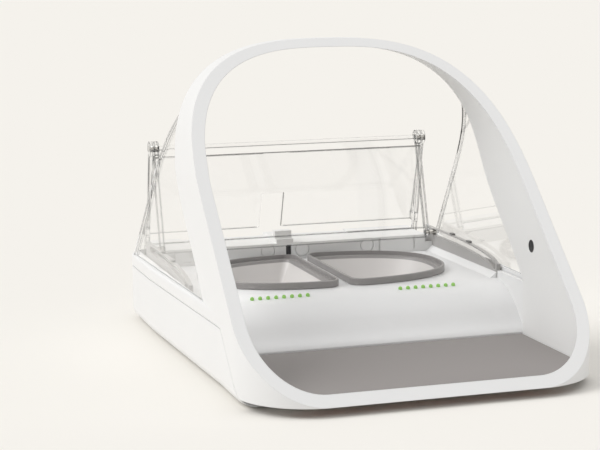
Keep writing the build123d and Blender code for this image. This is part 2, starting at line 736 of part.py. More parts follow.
# ---------------------------------------------------------------- feet and base screws
with BuildPart() as rubber_feet:
    for x, s in (FRONT_FOOT, REAR_FOOT):
        post(FOOT_RADIUS - FIT, x, s, 0, FOOT_HIGH)
        post(FOOT_RADIUS - FIT, -x, s, 0, FOOT_HIGH)
    fillet(rubber_feet.edges().group_by(Axis.Z)[0], 0.6)
put(rubber_feet.part, "rubber_feet")

SCREW_SEAT = FOOT_STAND + SCREW_DEEP
with BuildPart() as base_screws:
    for x, s in POSTS:
        for side in (1, -1):
            post(SCREW_HEAD, side * x, s, SCREW_SEAT - 2, SCREW_SEAT)
            post(SCREW_SHANK, side * x, s, SCREW_SEAT, TRAY_UNDER)
put(base_screws.part, "base_screws")

# ---------------------------------------------------------------- clear side windows
WINDOW_SKIN = 1.8
WINDOW_INSET = 0.8
WINDOW_SPLAY = 1.7
WINDOW_LEAN = 3.0
WINDOW_REAR = (LENGTH - 24.0, RAIL_TOP)
WINDOW_TOP = (LENGTH - 125.5, HEIGHT - 32.0)
WINDOW_BEAD = 1.4
BEAD_WIDE = 3.2
BACK_GAP = 0.25


def window_region(setback):
    """Side view of a window: behind the arch's back, under the sloping rear edge."""
    rise = WINDOW_TOP[1] - WINDOW_REAR[1]
    run = WINDOW_REAR[0] - WINDOW_TOP[0]
    with BuildSketch() as region:
        with BuildLine():
            Polyline(
                (along(0), RAIL_TOP),
                (along(WINDOW_REAR[0] - setback), RAIL_TOP),
                (along(WINDOW_TOP[0] - run - setback), WINDOW_TOP[1] + rise),
                (along(0), WINDOW_TOP[1] + rise),
                close=True,
            )
        make_face()
        back = arch_back(BACK_GAP)
        with BuildLine():
            Spline(*back)
            Polyline(
                back[-1],
                (along(LENGTH), back[-1][1]),
                (along(LENGTH), 0),
                (back[0][0], 0),
                back[0],
            )
        make_face(mode=Mode.INTERSECT)
    return region.sketch


def window_section(wall, side, outside):
    """Section of one window's wall, from an outer inset to its inner face."""
    lean = tan(radians(WINDOW_LEAN))
    with BuildSketch(wall) as section:
        add(arch_elevation(outside, lean))
        add(arch_elevation(WINDOW_INSET + WINDOW_SKIN, lean), mode=Mode.SUBTRACT)
        with Locations((side * ARCH_WIDTH / 2, HEIGHT / 2)):
            Rectangle(ARCH_WIDTH / 2, 2 * HEIGHT, mode=Mode.INTERSECT)
    return section.sketch


for side, name in ((1, "right"), (-1, "left")):
    splay = radians(side * WINDOW_SPLAY)
    wall = Plane(
        origin=(0, along(TUNNEL_END), 0),
        x_dir=(cos(splay), -sin(splay), 0),
        z_dir=(-sin(splay), -cos(splay), 0),
    )
    with BuildPart() as window_bead:
        extrude(window_section(wall, side, WINDOW_INSET - WINDOW_BEAD), amount=-LENGTH)
        with BuildSketch(Plane.YZ):
            add(window_region(0))
            add(window_region(BEAD_WIDE), mode=Mode.SUBTRACT)
        extrude(amount=REAR_WIDTH, both=True, mode=Mode.INTERSECT)
    with BuildPart() as side_window:
        extrude(window_section(wall, side, WINDOW_INSET), amount=-LENGTH)
        with BuildSketch(Plane.YZ):
            add(window_region(0))
        extrude(amount=REAR_WIDTH, both=True, mode=Mode.INTERSECT)
        add(window_bead.part)
    put(side_window.part, f"side_window_{name}")

# ---------------------------------------------------------------- guide rails for the lid's leading edge
GUIDE_CROWN = 3.0
GUIDE_STEPS = 12
guide_path = [guide_point(i / GUIDE_STEPS) for i in range(GUIDE_STEPS + 1)]

for side, name in ((1, "right"), (-1, "left")):
    slot_half = GUIDE_PIN + SLOT_PLAY
    with BuildPart() as guide_rail:
        with BuildSketch(Plane.YZ.offset(mirrored(GUIDE_X, side)[0])):
            with BuildLine():
                crest = [(along(s), z + GUIDE_CROWN) for s, z in guide_path]
                Polyline(
                    (along(GUIDE_FRONT), TRAY_TOP),
                    (along(GUIDE_FRONT), crest[0][1] - 1),
                    *crest,
                    (along(GUIDE_REAR), crest[-1][1]),
                    (along(GUIDE_REAR), TRAY_TOP),
                    close=True,
                )
            make_face()
            with BuildLine():
                Polyline(
                    *[(along(s), z + slot_half) for s, z in guide_path],
                    *[(along(s), z - slot_half) for s, z in reversed(guide_path)],
                    close=True,
                )
            make_face(mode=Mode.SUBTRACT)
            with Locations(*[(along(s), z) for s, z in (guide_path[0], guide_path[-1])]):
                Circle(slot_half, mode=Mode.SUBTRACT)
        extrude(amount=GUIDE_X[1] - GUIDE_X[0])
        block(mirrored(GUIDE_X, side), (TRAY_REAR, GUIDE_REAR), (BAY_ROOF, TRAY_TOP + 0.1))
    put(guide_rail.part, f"guide_rail_{name}")

# ---------------------------------------------------------------- rear deck
DECK_THICK = 1.9
DECK_UNDER = DECK_TOP - DECK_THICK
DECK_REAR = LENGTH - WALL - 0.4
CAP_X = (-71.0, -22.0, 3.5, 52.4)
CAP_Z = 46.6
CAP_RADIUS = 4.7
CAP_GROOVE = 0.4
CAP_DEEP = 1.0
STEP_X = ((47.0, DECK_HALF), (-DECK_HALF, -75.6))
STEP_FROM = LENGTH - 15.0
STEP_HIGH = 1.2
BEARING_X = ((2.0 - DECK_HALF, 6.0 - DECK_HALF), (-12.0, -8.0), (55.0, 59.0), (DECK_HALF - 6.0, DECK_HALF - 2.0))
BEARING_STATIONS = (LENGTH - 16.0, LENGTH - 4.0)
SIDE_SKIRT = 1.8
SKIRT_UNDER = 44.0
WING_TOP = 46.4
PILLAR_STATIONS = (DECK_FRONT + 4.0, DECK_FRONT + 11.0)
SLITS = ((-89.2, -88.0), (-82.4, -76.6), (61.0, 62.6), (88.0, 89.2))
SLIT_DEEP = 1.0
SLIT_Z = (42.0, DECK_TOP - 1.0)
SLOT_X = (-8.6, -4.8)
SLOT_Z = (43.2, 50.2)
RIB_REAR = LENGTH - 6.0
GEAR_ROOM = 1.0

with BuildPart() as rear_deck:
    block((-DECK_HALF, DECK_HALF), (DECK_FRONT, DECK_REAR), (DECK_UNDER, DECK_TOP))
    block((-DECK_HALF, DECK_HALF), (DECK_FRONT, DECK_FRONT + SKIRT), (TRAY_TOP, DECK_TOP))
    block((-DECK_HALF, DECK_HALF), (DECK_REAR - SKIRT, DECK_REAR), (SKIRT_UNDER, DECK_TOP))
    block(RIB_X, (DECK_FRONT, RIB_REAR), (DECK_TOP, RIB_TOP))
    block(RIB_X, PILLAR_STATIONS, (DECK_TOP, PILLAR_TOP))
    for side in (1, -1):
        block(mirrored((DECK_HALF - SIDE_SKIRT, DECK_HALF), side), (DECK_FRONT, DECK_REAR), (SKIRT_UNDER, DECK_TOP))
        block(mirrored((DECK_HALF, GUIDE_X[0] - 0.1), side), (DECK_FRONT, DECK_FRONT + SKIRT), (TRAY_TOP, WING_TOP))
    for x in STEP_X:
        block(x, (STEP_FROM, DECK_REAR), (DECK_TOP, DECK_TOP + STEP_HIGH))
    for x in BEARING_X:
        block(x, BEARING_STATIONS, (BAY_ROOF, DECK_UNDER))
    cylinder_x(AXLE_RADIUS + RUNNING, PIVOT, -DECK_HALF, DECK_HALF, Mode.SUBTRACT)
    block((GEAR_X - 4, GEAR_X + 4), (STEP_FROM - 3, DECK_REAR - SKIRT), (DECK_UNDER - 1, DECK_UNDER + GEAR_ROOM), Mode.SUBTRACT)
    for x in SLITS:
        block(x, (DECK_FRONT, DECK_FRONT + SLIT_DEEP), SLIT_Z, Mode.SUBTRACT)
    block(SLOT_X, (DECK_FRONT, DECK_FRONT + SKIRT), SLOT_Z, Mode.SUBTRACT)
    with BuildSketch(Plane.XZ.offset(-along(DECK_FRONT))):
        with Locations(*[(x, CAP_Z) for x in CAP_X]):
            Circle(CAP_RADIUS + CAP_GROOVE)
    extrude(amount=-CAP_DEEP, mode=Mode.SUBTRACT)
put(rear_deck.part, "rear_deck")

with BuildPart() as deck_caps:
    with BuildSketch(Plane.XZ.offset(-along(DECK_FRONT + CAP_DEEP))):
        with Locations(*[(x, CAP_Z) for x in CAP_X]):
            Circle(CAP_RADIUS)
    extrude(amount=0.8)
put(deck_caps.part, "deck_caps")

with BuildPart() as lid_sensor:
    block((SLOT_X[0] + 0.1, SLOT_X[1] - 0.1), (DECK_FRONT + 0.5, DECK_FRONT + SKIRT), (SLOT_Z[0] + 0.1, SLOT_Z[1] - 0.1))
    block((SLOT_X[0] - 1, SLOT_X[1] + 1), (DECK_FRONT + SKIRT, DECK_FRONT + SKIRT + 3), (SLOT_Z[0] - 1, SLOT_Z[1] - 0.6))
put(lid_sensor.part, "lid_sensor")

# ---------------------------------------------------------------- lid: rear leaf, front leaf, pins
FRONT_ARM_X = LID_HALF
REAR_ARM_X = LID_HALF + ARM_THICK + SIDE_GAP
ARM_END = REAR_ARM_X + ARM_THICK
HUB = 3.2
GUIDE_HUB = 2.7
LEAF_START = 7.0
REAR_START = 10.0
PANEL_RISE = 7.0
NOTCH_X = (RIB_X[0] - 2.2, RIB_X[1] + 2.2)
NOTCH_LONG = 37.5
WEB_LONG = 6.0
LEAD = 3.6
HOLD = 0.01

with BuildPart() as lid_rear_leaf:
    near = REAR_LEAF - LEAF_START
    with BuildSketch(rear_leaf_plane):
        with BuildLine():
            Polyline(
                (REAR_START, PANEL_RISE - PANEL / 2),
                (near, -PANEL / 2),
                (near, PANEL / 2),
                (REAR_START, PANEL_RISE + PANEL / 2),
                close=True,
            )
        make_face()
    extrude(amount=REAR_ARM_X + 0.5, both=True)
    with BuildSketch(rear_leaf_plane.offset(-sum(NOTCH_X) / 2)):
        with Locations((NOTCH_LONG / 2, 0)):
            Rectangle(NOTCH_LONG, 4 * PANEL_RISE)
    extrude(amount=(NOTCH_X[1] - NOTCH_X[0]) / 2, both=True, mode=Mode.SUBTRACT)
    arm(rear_leaf_plane, REAR_LEAF, REAR_ARM_X, HUB, KNUCKLE)
    for side in (1, -1):
        with BuildSketch(rear_leaf_plane.offset(-side * REAR_ARM_X)):
            with Locations((REAR_START + WEB_LONG / 2, PANEL_RISE / 2)):
                Rectangle(WEB_LONG, PANEL_RISE + PANEL - 0.2)
        extrude(amount=-side * ARM_THICK)
    cylinder_x(AXLE_RADIUS + HOLD, PIVOT, -ARM_END, ARM_END, Mode.SUBTRACT)
    cylinder_x(PIN_RADIUS + HOLD, CROWN, -ARM_END, ARM_END, Mode.SUBTRACT)
put(lid_rear_leaf.part, "lid_rear_leaf")

with BuildPart() as lid_front_leaf:
    with BuildSketch(front_leaf_plane):
        with Locations((FRONT_LEAF / 2, 0)):
            Rectangle(FRONT_LEAF, PANEL)
        with Locations((FRONT_LEAF, 0)):
            Rectangle(2 * LEAD, BAR)
    extrude(amount=LID_HALF + 0.5, both=True)
    arm(front_leaf_plane, FRONT_LEAF, FRONT_ARM_X, KNUCKLE, GUIDE_HUB)
    cylinder_x(BAR / 2, CROWN, -LID_HALF - 0.5, LID_HALF + 0.5)
    for x_from in (FRONT_ARM_X, -FRONT_ARM_X - ARM_THICK):
        cylinder_x(PIN_RADIUS + RUNNING, CROWN, x_from, x_from + ARM_THICK, Mode.SUBTRACT)
        cylinder_x(GUIDE_PIN + HOLD, GUIDE, x_from, x_from + ARM_THICK, Mode.SUBTRACT)
put(lid_front_leaf.part, "lid_front_leaf")

with BuildPart() as crown_pins:
    for side in (1, -1):
        cylinder_x(PIN_RADIUS, CROWN, *mirrored((FRONT_ARM_X + 0.6, ARM_END), side))
put(crown_pins.part, "crown_pins")

with BuildPart() as guide_pins:
    for side in (1, -1):
        cylinder_x(GUIDE_PIN, GUIDE, *mirrored((FRONT_ARM_X + 0.6, GUIDE_X[1] - 0.2), side))
put(guide_pins.part, "guide_pins")

with BuildPart() as lid_axle:
    cylinder_x(AXLE_RADIUS, PIVOT, -ARM_END, ARM_END)
put(lid_axle.part, "lid_axle")

# ---------------------------------------------------------------- lid drive
SECTOR_PITCH = MODULE * SECTOR_TEETH / 2
PINION_PITCH = MODULE * PINION_TEETH / 2
MESH_AT = 243.0
SECTOR_FIRST = 171.5
SECTOR_COUNT = 4
SECTOR_HUB = 3.3
SHAFT_RADIUS = 1.5
TOOTH_STEP = 360 / SECTOR_TEETH
space_off = SECTOR_FIRST + (SECTOR_COUNT - 0.5) * TOOTH_STEP - MESH_AT
pinion_phase = MESH_AT - 180 - space_off * SECTOR_TEETH / PINION_TEETH
mesh = radians(MESH_AT)
PINION_AT = (
    PIVOT[0] + (SECTOR_PITCH + PINION_PITCH) * cos(mesh),
    PIVOT[1] + (SECTOR_PITCH + PINION_PITCH) * sin(mesh),
)
gear_plane = Plane.YZ.offset(GEAR_X - GEAR_THICK / 2)

with BuildPart() as lid_sector:
    with BuildSketch(gear_plane):
        with Locations((along(PIVOT[0]), PIVOT[1])):
            Circle(SECTOR_HUB)
        with BuildLine():
            teeth = gear_outline(SECTOR_TEETH, radians(SECTOR_FIRST), 0, SECTOR_COUNT - 1)
            Polyline(
                (along(PIVOT[0]), PIVOT[1]),
                *[(along(PIVOT[0]) + y, PIVOT[1] + z) for y, z in teeth],
                close=True,
            )
        make_face()
        with Locations((along(PIVOT[0]), PIVOT[1])):
            Circle(AXLE_RADIUS + HOLD, mode=Mode.SUBTRACT)
    extrude(amount=GEAR_THICK)
put(lid_sector.part, "lid_sector")

GEARBOX_X = (70.0, 90.0)
GEARBOX_STATIONS = (LENGTH - 34.0, LENGTH - 5.0)
GEARBOX_TOP = 44.4
MOTOR_AT = (LENGTH - 27.4, 39.6)
MOTOR_RADIUS = 7.0
MOTOR_X = 44.0
SHAFT_IN = 4.0

with BuildPart() as lid_pinion:
    with BuildSketch(gear_plane):
        with BuildLine():
            teeth = gear_outline(PINION_TEETH, radians(pinion_phase), 0, PINION_TEETH - 1)
            Polyline(*[(along(PINION_AT[0]) + y, PINION_AT[1] + z) for y, z in teeth], close=True)
        make_face()
    extrude(amount=GEAR_THICK)
    cylinder_x(SHAFT_RADIUS, PINION_AT, GEAR_X, GEARBOX_X[0] + SHAFT_IN)
put(lid_pinion.part, "lid_pinion")

with BuildPart() as gearbox:
    block(GEARBOX_X, GEARBOX_STATIONS, (BAY_ROOF, GEARBOX_TOP))
    cylinder_x(SHAFT_RADIUS + RUNNING, PINION_AT, GEARBOX_X[0], GEARBOX_X[0] + SHAFT_IN + 0.5, Mode.SUBTRACT)
put(gearbox.part, "gearbox")

with BuildPart() as motor:
    cylinder_x(MOTOR_RADIUS, MOTOR_AT, MOTOR_X, GEARBOX_X[0])
    cylinder_x(2.5, MOTOR_AT, MOTOR_X - 2, MOTOR_X)
put(motor.part, "motor")

# ---------------------------------------------------------------- buttons on the back and their board
BUTTON_BOARD = (LENGTH - 11.0, LENGTH - 9.6)
BUTTON_BOARD_X = (BUTTON_X[0] - 7, BUTTON_X[-1] + 7)
SWITCH_TO = LENGTH - 7.2
CAP_TO = LENGTH - 0.1
BUTTON_FLANGE = (LENGTH - 4.6, LENGTH - 2.5)
BUTTON_FLANGE_RADIUS = 4.2
BUTTON_NAMES = ("button_open_close", "button_add_pet", "button_training", "button_connect")

with BuildPart() as button_board:
    block(BUTTON_BOARD_X, BUTTON_BOARD, (BAY_ROOF, SEAM_Z + 1))
    for x in BUTTON_X:
        block((x - 2.2, x + 2.2), (BUTTON_BOARD[1], SWITCH_TO), (BUTTON_Z - 2.2, BUTTON_Z + 2.2))
put(button_board.part, "button_board")

for x, name in zip(BUTTON_X, BUTTON_NAMES):
    with BuildPart() as button:
        with BuildSketch(Plane.XZ.offset(-along(SWITCH_TO + BUTTON_TRAVEL + 0.15))):
            with Locations((x, BUTTON_Z)):
                Circle(1.4)
        extrude(amount=-(BUTTON_FLANGE[0] - SWITCH_TO - BUTTON_TRAVEL - 0.15))
        with BuildSketch(Plane.XZ.offset(-along(BUTTON_FLANGE[0]))):
            with Locations((x, BUTTON_Z)):
                Circle(BUTTON_FLANGE_RADIUS)
        extrude(amount=-(BUTTON_FLANGE[1] - BUTTON_FLANGE[0]))
        with BuildSketch(Plane.XZ.offset(-along(BUTTON_FLANGE[0]))):
            with Locations((x, BUTTON_Z)):
                Circle(BUTTON_RADIUS)
        extrude(amount=-(CAP_TO - BUTTON_FLANGE[0]))
        fillet(button.edges().group_by(Axis.Y)[-1], 0.5)
    put(button.part, name)

# ---------------------------------------------------------------- batteries
DOOR = (FOOT_STAND + 0.2, FOOT_STAND + 2.0)
CELL_Z = DOOR[1] + 0.3 + BATTERY_RADIUS
BAY_MID = (BAY_Y[0] + BAY_Y[1]) / 2
CELL_FROM = (BAY_X[0] + BAY_X[1]) / 2 - BATTERY_LONG
CONTACT = CELL_FROM - BAY_X[0]

with BuildPart() as battery_contacts:
    for side in (1, -1):
        cylinder_x(6.0, (BAY_MID, CELL_Z), *mirrored((BAY_X[0], CELL_FROM), side))
        cylinder_x(6.0, (BAY_MID, CELL_Z), *mirrored((BAY_X[1] - CONTACT, BAY_X[1]), side))
put(battery_contacts.part, "battery_contacts")

for side, name in ((1, "right"), (-1, "left")):
    with BuildPart() as cells:
        for n in range(2):
            start = CELL_FROM + n * BATTERY_LONG
            cylinder_x(BATTERY_RADIUS, (BAY_MID, CELL_Z), *mirrored((start, start + BATTERY_LONG - 1.6), side))
            cylinder_x(3.0, (BAY_MID, CELL_Z), *mirrored((start + BATTERY_LONG - 1.6, start + BATTERY_LONG - 0.02), side))
    put(cells.part, f"battery_cells_{name}")
    with BuildPart() as door:
        block(mirrored((BAY_X[0] + 0.3, BAY_X[1] - 0.3), side), (BAY_Y[0] + 0.3, BAY_Y[1] - 0.3), DOOR)
        block(mirrored((BAY_X[0] + 40, BAY_X[1] - 40), side), (BAY_Y[0] + 3, BAY_Y[0] + 7), (0, DOOR[0] + 1), Mode.SUBTRACT)
    put(door.part, f"battery_door_{name}")
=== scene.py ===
# %% [markdown]
# # A microchip pet feeder
# The feeder is a white plastic station with a raked reading arch, two grey bowls and a clear
# folding lid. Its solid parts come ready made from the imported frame, in metres, and each keeps
# its place. This script gives them their finishes, adds the small trim the solids leave out,
# and sets up the light and the camera.

# %% Load the solid parts
from math import cos, radians, sin

import bpy
import numpy as np
from mathutils import Matrix, Vector


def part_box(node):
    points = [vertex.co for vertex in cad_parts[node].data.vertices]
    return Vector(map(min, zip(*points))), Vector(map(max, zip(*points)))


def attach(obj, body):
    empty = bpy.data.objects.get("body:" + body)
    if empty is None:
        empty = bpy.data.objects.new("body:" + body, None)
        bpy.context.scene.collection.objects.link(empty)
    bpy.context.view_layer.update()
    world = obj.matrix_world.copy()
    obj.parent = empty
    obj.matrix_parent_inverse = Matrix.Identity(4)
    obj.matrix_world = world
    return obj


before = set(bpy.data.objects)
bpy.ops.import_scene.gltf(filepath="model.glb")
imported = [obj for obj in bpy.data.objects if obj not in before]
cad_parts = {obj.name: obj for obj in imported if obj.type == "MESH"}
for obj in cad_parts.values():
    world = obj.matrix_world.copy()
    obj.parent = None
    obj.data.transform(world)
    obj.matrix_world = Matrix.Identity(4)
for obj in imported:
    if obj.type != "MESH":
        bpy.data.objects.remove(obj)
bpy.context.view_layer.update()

# %% [markdown]
# ## Camera
# A long lens stands to the left of the feeder and a little above it, so the arch is seen from
# the front and its left flank recedes. Yaw, pitch and roll are turned into three axes, because
# that keeps the horizon's small tilt exact.

# %% Place the camera
CAMERA_AT = (-0.33569, -0.99911, 0.24349)
YAW, PITCH, ROLL = radians(16.85), radians(8.75), radians(-0.8)
LENS = 99.3

ahead = Vector((sin(YAW) * cos(PITCH), cos(YAW) * cos(PITCH), -sin(PITCH)))
level = Vector((cos(YAW), -sin(YAW), 0))
upright = level.cross(ahead)
across = cos(ROLL) * level + sin(ROLL) * upright
up = cos(ROLL) * upright - sin(ROLL) * level

camera = bpy.data.objects.new("camera", bpy.data.cameras.new("camera"))
bpy.context.scene.collection.objects.link(camera)
camera.data.sensor_width = 36
camera.data.lens = LENS
turned = Matrix((across, up, -ahead)).transposed().to_4x4()
camera.matrix_world = Matrix.Translation(CAMERA_AT) @ turned
bpy.context.scene.camera = camera
print("camera looks along", [round(v, 3) for v in ahead])

# %% [markdown]
# ## Colour and nodes
# Every finish is written as a hex colour, as it would be picked on screen, and the renderer
# needs it in linear light. One function turns it over, and one more adds a node to a material
# with its settings and its links, so each finish reads as a short list of what it is made of.

# %% Helpers for finishes
def linear(code):
    """The linear colour of an sRGB hex code: each channel follows the sRGB transfer curve."""
    values = np.array([int(code[i:i + 2], 16) for i in (1, 3, 5)]) / 255
    low = values / 12.92
    high = ((values + 0.055) / 1.055) ** 2.4
    return (*np.where(values <= 0.04045, low, high), 1.0)


def add_node(tree, kind, inputs=None, **settings):
    """Add one node. Settings are its properties; each input is a value, or a socket to link from."""
    made = tree.nodes.new(kind)
    for name, value in settings.items():
        setattr(made, name, value)
    for key, value in (inputs or {}).items():
        if isinstance(value, bpy.types.NodeSocket):
            tree.links.new(value, made.inputs[key])
        else:
            made.inputs[key].default_value = value
    return made.outputs


def finish(name, colour, **values):
    """A new material with one Principled shader; returns it, its tree, its shader and its coordinates."""
    material = bpy.data.materials.new(name)
    material.use_nodes = True
    tree = material.node_tree
    shader = tree.nodes["Principled BSDF"]
    shader.inputs["Base Color"].default_value = linear(colour)
    for key, value in values.items():
        shader.inputs[key.replace("_", " ")].default_value = value
    place = tree.nodes.new("ShaderNodeTexCoord").outputs["Object"]
    return material, tree, shader, place


# %% [markdown]
# ## Light, floor and backdrop
# A white studio. An even world gives most of the light, and two suns with wide discs act as
# distant softboxes: the key stands at the left, a little behind, so the left flank is the
# brightest side and the arch's face a shade darker, and a weaker one fills from above. Suns
# have no falloff, so the floor stays one even tone as far as it goes, and together they light
# a level surface to 1, where a colour comes out as written. The backdrop is a warm off-white
# that only the camera, mirrors and glass see.

# %% World and lamps
BACKDROP = "#F5F2EC"
EVEN_LIGHT = 0.55
KEY_SHARE, TOP_SHARE = 0.32, 0.13

scene = bpy.context.scene
scene.view_settings.view_transform = "Standard"
world = bpy.data.worlds.new("studio")
scene.world = world
world.use_nodes = True
sky = world.node_tree
even = sky.nodes["Background"]
even.inputs["Color"].default_value = linear("#FFFFFF")
even.inputs["Strength"].default_value = EVEN_LIGHT
seen = add_node(sky, "ShaderNodeBackground", {"Color": linear(BACKDROP), "Strength": 1.0})
rays = add_node(sky, "ShaderNodeLightPath")
inputs = {0: rays["Is Camera Ray"], 1: rays["Is Transmission Ray"]}
direct = add_node(sky, "ShaderNodeMath", inputs, operation="MAXIMUM")["Value"]
inputs = {0: direct, 1: rays["Is Glossy Ray"]}
any_ray = add_node(sky, "ShaderNodeMath", inputs, operation="MAXIMUM")["Value"]
mixed = add_node(sky, "ShaderNodeMixShader", {0: any_ray, 1: even.outputs[0], 2: seen[0]})
sky.links.new(mixed[0], sky.nodes["World Output"].inputs["Surface"])


def wide_sun(name, from_side, share, disc):
    """A sun from one side. A level surface takes share of full light: strength = share * pi / cos(tilt)."""
    way = Vector(from_side).normalized()
    lamp = bpy.data.lights.new(name, "SUN")
    lamp.energy = share * np.pi / way.z
    lamp.angle = radians(disc)
    holder = bpy.data.objects.new(name, lamp)
    holder.location = way * 2
    holder.rotation_mode = "QUATERNION"
    holder.rotation_quaternion = way.to_track_quat("Z", "Y")
    scene.collection.objects.link(holder)


wide_sun("key_softbox", (-1.3, 0.3, 1.3), KEY_SHARE, 40)
wide_sun("top_fill", (0.4, 0.0, 1.0), TOP_SHARE, 60)
print("level light", round(EVEN_LIGHT + KEY_SHARE + TOP_SHARE, 2))

# %% [markdown]
# ## From numbers to a mesh
# Every new surface here is worked out as arrays of points and faces. One function turns them
# into a smooth mesh with its finish, so the cells below hold only the shapes.

# %% Build a piece, and lay the floor
def new_piece(name, points, faces, material):
    """A smooth mesh object at the origin, from its points, its faces and its finish."""
    mesh = bpy.data.meshes.new(name)
    mesh.from_pydata(points, [], faces)
    mesh.polygons.foreach_set("use_smooth", np.ones(len(mesh.polygons), dtype=bool))
    mesh.materials.append(material)
    piece = bpy.data.objects.new(name, mesh)
    scene.collection.objects.link(piece)
    return piece


FLOOR_REACH = 60.0
FLOOR_LINES = 5
floor_finish = finish("pale_paper_floor", BACKDROP, Roughness=1.0, Specular_IOR_Level=0.0)[0]
spread = np.linspace(-FLOOR_REACH, FLOOR_REACH, FLOOR_LINES)
xx, yy = np.meshgrid(spread, spread)
index = np.arange(xx.size).reshape(xx.shape)
quads = np.stack([index[:-1, :-1], index[:-1, 1:], index[1:, 1:], index[1:, :-1]], axis=-1)
ground = np.stack([xx, yy, np.zeros_like(xx)], axis=-1)
floor = new_piece("floor", ground.reshape(-1, 3), quads.reshape(-1, 4), floor_finish)
print("floor", len(floor.data.polygons), "faces")

# %% [markdown]
# ## What moulded plastic shares
# A moulded surface could be one flat colour, but the eye reads three more things from it: edges
# that are never quite sharp, a fine grain from the sparked tool, and gloss that drifts over
# centimetres where hands wipe it. The Bevel node finds the edges: it bends the normal near
# them, so they catch a thin highlight, and its mask polishes the edges and paints them
# lighter, as a painted highlight.

# %% Edge bend and mask
AGREE_FLAT, AGREE_EDGE = 0.995, 0.8


def edge_bend_and_mask(tree, radius_mm):
    """Bent normal near edges, and a mask: 0 on flat ground, 1 where bent and straight normals part most."""
    bent = add_node(tree, "ShaderNodeBevel", {"Radius": radius_mm / 1000}, samples=4)["Normal"]
    straight = add_node(tree, "ShaderNodeNewGeometry")["Normal"]
    agree = add_node(tree, "ShaderNodeVectorMath", {0: bent, 1: straight}, operation="DOT_PRODUCT")
    inputs = {"Value": agree["Value"], "From Min": AGREE_FLAT, "From Max": AGREE_EDGE}
    return bent, add_node(tree, "ShaderNodeMapRange", inputs)["Result"]


# %% The moulded finish
GLOSS_CLOUDS, GLOSS_DRIFT = 22.0, 0.04
EDGE_POLISH, EDGE_PAINTED_HIGHLIGHT, OPEN_FADE = -0.08, 0.5, 0.25


def moulded(name, colour, tone_and_edge_highlight_colour, roughness, grain_mm, depth_mm, edge_mm=0.45, **values):
    """A moulded plastic: noise grain as a bump, gloss and tone that drift in clouds, edges polished and
    painted lighter as a painted highlight.
    """
    material, tree, shader, place = finish(name, colour, **values)
    bent, edge = edge_bend_and_mask(tree, edge_mm)
    inputs = {"Vector": place, "Scale": GLOSS_CLOUDS, "Detail": 1.0}
    cloud = {"Value": add_node(tree, "ShaderNodeTexNoise", inputs)["Fac"], "From Min": 0.1, "From Max": 0.9}

    inputs = {**cloud, "To Min": roughness - GLOSS_DRIFT, "To Max": roughness + GLOSS_DRIFT}
    matt = add_node(tree, "ShaderNodeMapRange", inputs, interpolation_type="SMOOTHSTEP")["Result"]
    polish = add_node(tree, "ShaderNodeMath", {0: edge, 1: EDGE_POLISH, 2: matt}, operation="MULTIPLY_ADD")
    tree.links.new(polish["Value"], shader.inputs["Roughness"])

    inputs = {**cloud, "To Max": OPEN_FADE}
    faint = add_node(tree, "ShaderNodeMapRange", inputs, interpolation_type="SMOOTHSTEP")["Result"]
    shade = add_node(tree, "ShaderNodeMath", {0: edge, 1: EDGE_PAINTED_HIGHLIGHT, 2: faint}, operation="MULTIPLY_ADD")
    # Edges are painted toward the lighter colour as a painted highlight; the gloss clouds also shift it a
    # little as tone.
    inputs = {0: shade["Value"], 6: linear(colour), 7: linear(tone_and_edge_highlight_colour)}
    tint = add_node(tree, "ShaderNodeMix", inputs, data_type="RGBA")
    tree.links.new(tint[2], shader.inputs["Base Color"])

    inputs = {"Vector": place, "Scale": 1000 / grain_mm, "Detail": 3.0}
    grain = add_node(tree, "ShaderNodeTexNoise", inputs)["Fac"]
    bump = {"Height": grain, "Distance": depth_mm / 1000, "Strength": 0.35, "Normal": bent}
    tree.links.new(add_node(tree, "ShaderNodeBump", bump)["Normal"], shader.inputs["Normal"])
    return material, tree, shader, place


# %% [markdown]
# ## White plastics
# The casing is injection-moulded ABS from a spark-eroded tool: a satin skin that shows soft,
# broad highlights. Its grain is really 0.1 mm across, too fine to show, so it is drawn at
# 0.6 mm. The arch's liner comes from a coarser tool and looks flatter, and the tray under the
# bowls is polished a little more, because it is wiped clean. The rear deck's colour is
# painted darker, as painted shade from the lid above it.

# %% Satin white ABS
satin_white = moulded("satin_white_abs", "#EDEDED", "#F4F4F3", 0.38, 0.6, 0.02, IOR=1.53)[0]
# The rear deck's darker colour is painted shade from the lid above it.
deck_white_painted_shade = moulded("white_abs_painted_shade", "#DFDFDE", "#EAEAE9", 0.42, 0.6, 0.02, IOR=1.53)[0]
liner_white = moulded("textured_white_abs", "#ECECEB", "#F2F1EF", 0.45, 0.5, 0.03, IOR=1.53)[0]
tray_white = moulded("wiped_white_abs", "#EBEBEB", "#F3F3F2", 0.36, 0.8, 0.015, IOR=1.53)[0]
door_white = moulded("rubbed_white_abs", "#EBEBEA", "#F3F2F0", 0.38, 0.5, 0.03, IOR=1.53)[0]
button_white = moulded("soft_grey_silicone", "#CFCECC", "#D8D7D4", 0.55, 0.4, 0.02, IOR=1.42)[0]
cap_white = moulded("plain_abs_cap", "#E4E4E3", "#EEEDEC", 0.25, 0.8, 0.01, edge_mm=0.3, IOR=1.53)[0]
WHITES = (satin_white, deck_white_painted_shade, liner_white, tray_white, door_white, button_white, cap_white)
print(len(WHITES), "pale finishes, from", satin_white.name, "to", cap_white.name)

# %% [markdown]
# ## Bowls, mat and feet
# The bowls are moulded in warm grey polypropylene, waxy and even, with a band of darker soft
# elastomer round the rim that seals against the lid. Both are one piece, so the band is a
# second colour above a height. The mat is a matt elastomer with a fine pebbled skin, and the
# feet are dark rubber.

